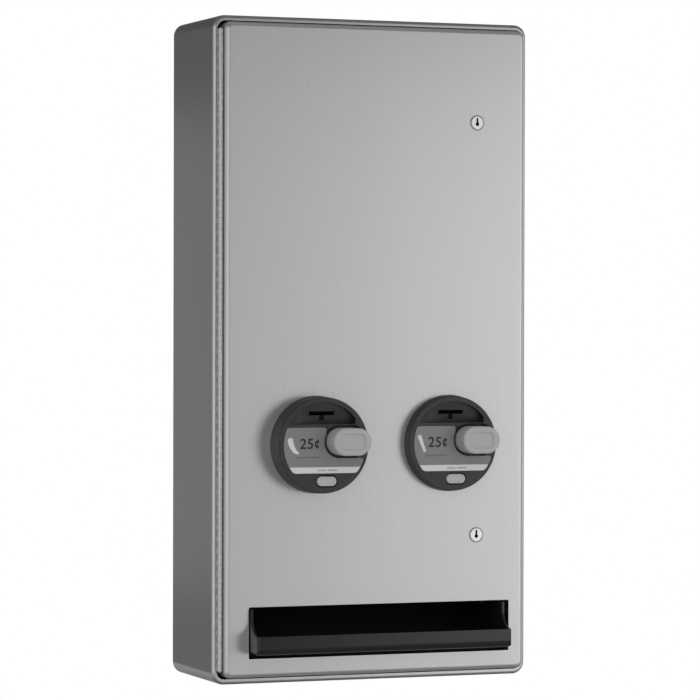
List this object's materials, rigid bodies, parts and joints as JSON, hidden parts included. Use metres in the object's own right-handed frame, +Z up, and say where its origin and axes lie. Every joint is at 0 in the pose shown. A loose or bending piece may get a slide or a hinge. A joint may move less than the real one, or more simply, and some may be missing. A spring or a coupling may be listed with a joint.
{
  "type": "sanitary napkin vending machine",
  "caption": "Surface mounted coin vending machine for napkins and tampons: hinged stainless door with locks, round push mechanisms, coin slots and an open tray.",
  "frame": {"origin": "middle of the four wall screws, on the wall plane", "axes": "+X to the right as seen from the front, +Y from the door into the wall, +Z up"},
  "size_m": [0.336, 0.176, 0.66],
  "materials": {
    "satin_stainless": "satin, grain upright",
    "hinge_pin_steel": "dull",
    "galvanised_sheet": "galvanised",
    "black_sheet": "black paint",
    "zinc_plated_steel": "zinc plated",
    "spring_steel": "drawn wire",
    "lock_chrome": "polished",
    "charcoal_plastic": "fine texture",
    "grey_plastic": "satin",
    "label_print": "printed film",
    "black_plastic": "moulded"
  },
  "bodies": {
    "cabinet": {"cabinet_shell": "satin_stainless", "back_panel": "galvanised_sheet", "hinge_leaf_fixed": "satin_stainless", "hinge_pin": "hinge_pin_steel", "lock_strikes": "galvanised_sheet", "napkin_magazine": "galvanised_sheet", "tampon_magazine": "galvanised_sheet", "magazine_screws": "zinc_plated_steel", "pivot_rail": "galvanised_sheet", "pivot_rods": "zinc_plated_steel", "napkin_rocker_spring": "spring_steel", "tampon_rocker_spring": "spring_steel", "drop_chute": "black_sheet", "chute_screws": "zinc_plated_steel", "dispensing_tray": "black_plastic", "tray_screws": "zinc_plated_steel"},
    "door": {"door_panel": "satin_stainless", "hinge_leaf_door": "satin_stainless", "lock_nuts": "zinc_plated_steel", "coin_box_shelf": "galvanised_sheet", "mech_screws": "zinc_plated_steel", "upper_lock_housing": "lock_chrome", "lower_lock_housing": "lock_chrome", "napkin_drum": "charcoal_plastic", "napkin_price_label": "label_print", "napkin_mech_chassis": "galvanised_sheet", "napkin_coin_chute": "galvanised_sheet", "napkin_knob_spring": "spring_steel", "napkin_button_spring": "spring_steel", "tampon_drum": "charcoal_plastic", "tampon_price_label": "label_print", "tampon_mech_chassis": "galvanised_sheet", "tampon_coin_chute": "galvanised_sheet", "tampon_knob_spring": "spring_steel", "tampon_button_spring": "spring_steel"},
    "upper_lock": {"upper_lock_plug": "lock_chrome", "upper_lock_cam": "zinc_plated_steel", "upper_cam_screw": "zinc_plated_steel"},
    "lower_lock": {"lower_lock_plug": "lock_chrome", "lower_lock_cam": "zinc_plated_steel", "lower_cam_screw": "zinc_plated_steel"},
    "napkin_push": {"napkin_knob": "grey_plastic", "napkin_plunger": "zinc_plated_steel", "napkin_retaining_clip": "spring_steel"},
    "napkin_return": {"napkin_return_button": "grey_plastic"},
    "napkin_release": {"napkin_rocker": "galvanised_sheet"},
    "tampon_push": {"tampon_knob": "grey_plastic", "tampon_plunger": "zinc_plated_steel", "tampon_retaining_clip": "spring_steel"},
    "tampon_return": {"tampon_return_button": "grey_plastic"},
    "tampon_release": {"tampon_rocker": "galvanised_sheet"},
    "left_box": {"left_coin_box": "galvanised_sheet"},
    "right_box": {"right_coin_box": "galvanised_sheet"}
  },
  "joints": [
    {"name": "door_hinge", "type": "hinge", "parent": "cabinet", "child": "door", "pos_m": [-0.16085, -0.126, 0], "axis": [0, 0, -1], "range_deg": [0, 110]},
    {"name": "upper_lock_turn", "type": "hinge", "parent": "door", "child": "upper_lock", "pos_m": [0.11, -0.12, 0.2291], "axis": [0, -1, 0], "range_deg": [0, 90]},
    {"name": "lower_lock_turn", "type": "hinge", "parent": "door", "child": "lower_lock", "pos_m": [0.11, -0.12, -0.1868], "axis": [0, -1, 0], "range_deg": [0, 90]},
    {"name": "napkin_knob_push", "type": "slide", "parent": "door", "child": "napkin_push", "axis": [0, 1, 0], "range_m": [0, 0.02], "stiffness_N_per_m": 350, "springref_m": -0.012, "deforming": ["napkin_knob_spring"]},
    {"name": "napkin_return_press", "type": "slide", "parent": "door", "child": "napkin_return", "axis": [0, 1, 0], "range_m": [0, 0.0035], "stiffness_N_per_m": 300, "springref_m": -0.004, "deforming": ["napkin_button_spring"]},
    {"name": "napkin_rocker_turn", "type": "hinge", "parent": "cabinet", "child": "napkin_release", "pos_m": [0, -0.098, -0.1306], "axis": [-1, 0, 0], "range_deg": [0, 28.5], "stiffness_Nm_per_rad": 0.02, "springref_deg": -28.65, "deforming": ["napkin_rocker_spring"]},
    {"name": "tampon_knob_push", "type": "slide", "parent": "door", "child": "tampon_push", "axis": [0, 1, 0], "range_m": [0, 0.02], "stiffness_N_per_m": 350, "springref_m": -0.012, "deforming": ["tampon_knob_spring"]},
    {"name": "tampon_return_press", "type": "slide", "parent": "door", "child": "tampon_return", "axis": [0, 1, 0], "range_m": [0, 0.0035], "stiffness_N_per_m": 300, "springref_m": -0.004, "deforming": ["tampon_button_spring"]},
    {"name": "tampon_rocker_turn", "type": "hinge", "parent": "cabinet", "child": "tampon_release", "pos_m": [0, -0.098, -0.1306], "axis": [-1, 0, 0], "range_deg": [0, 28.5], "stiffness_Nm_per_rad": 0.02, "springref_deg": -28.65, "deforming": ["tampon_rocker_spring"]},
    {"name": "left_box_lift", "type": "slide", "parent": "door", "child": "left_box", "axis": [0, 0, 1], "range_m": [0, 0.012]},
    {"name": "right_box_lift", "type": "slide", "parent": "door", "child": "right_box", "axis": [0, 0, 1], "range_m": [0, 0.012]}
  ],
  "couplings": [
    {"joint": "napkin_rocker_turn", "follows": "napkin_knob_push", "rad_per_m": 24.871},
    {"joint": "tampon_rocker_turn", "follows": "tampon_knob_push", "rad_per_m": 24.871}
  ]
}
